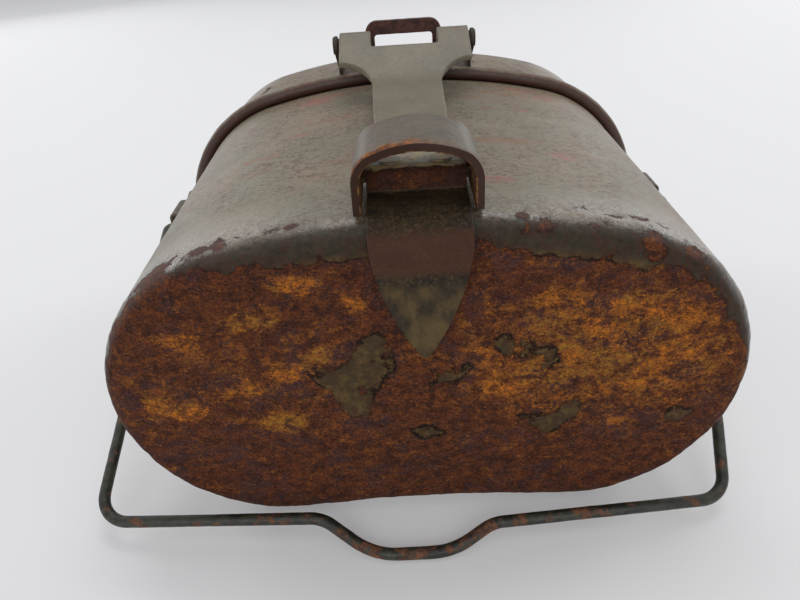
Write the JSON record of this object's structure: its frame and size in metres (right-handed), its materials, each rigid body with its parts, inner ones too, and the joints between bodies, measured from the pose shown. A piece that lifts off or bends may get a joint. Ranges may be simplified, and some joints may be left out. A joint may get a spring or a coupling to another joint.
{
  "type": "mess tin",
  "caption": "Kidney-shaped steel mess tin: deep pot, lid with a folding handle that hooks over the pot's base, strap keeper and wire bail.",
  "frame": {"origin": "centre of the outer face of the pot's base", "axes": "+Y along the tin's axis from the base to the lid; +Z out of the convex front, where the handle lies, so the tin lies on its hollow back; +X to the right"},
  "size_m": [0.1992, 0.1911, 0.1233],
  "materials": {
    "field_paint": "old grey-green paint, scratched, rusted through on the base",
    "handle_paint": "old grey-green paint, worn and rusty at the hook",
    "rusted_bracket": "dark, mostly bare and rusted",
    "worn_steel": "dark, rubbed and rusty",
    "dark_wire": "dark green-black wire with rust"
  },
  "bodies": {
    "pot": {"pot_shell": "field_paint", "bail_ear_left": "field_paint", "bail_ear_right": "field_paint", "bail_ear_rivets_left": "worn_steel", "bail_ear_rivets_right": "worn_steel"},
    "lid": {"lid_shell": "field_paint", "lid_rim_wire": "worn_steel", "lid_hinge_bracket": "rusted_bracket", "lid_hinge_rivets": "worn_steel", "hinge_pins": "worn_steel"},
    "handle": {"handle_strip": "handle_paint", "strap_keeper": "handle_paint", "strap_keeper_rivets": "worn_steel"},
    "bail": {"bail_wire": "dark_wire"}
  },
  "joints": [
    {"name": "lid_lift", "type": "slide", "parent": "pot", "child": "lid", "axis": [0, 1, 0], "range_m": [0, 0.02]},
    {"name": "handle_swing", "type": "hinge", "parent": "lid", "child": "handle", "pos_m": [0, 0.118, 0.0638], "axis": [-1, 0, 0], "range_deg": [0, 100]},
    {"name": "bail_swing", "type": "hinge", "parent": "pot", "child": "bail", "pos_m": [0, 0.099, 0.004], "axis": [1, 0, 0], "continuous": true}
  ],
  "couplings": [
    {"joint": "handle_swing", "follows": "lid_lift", "rad_per_m": 87.27}
  ]
}
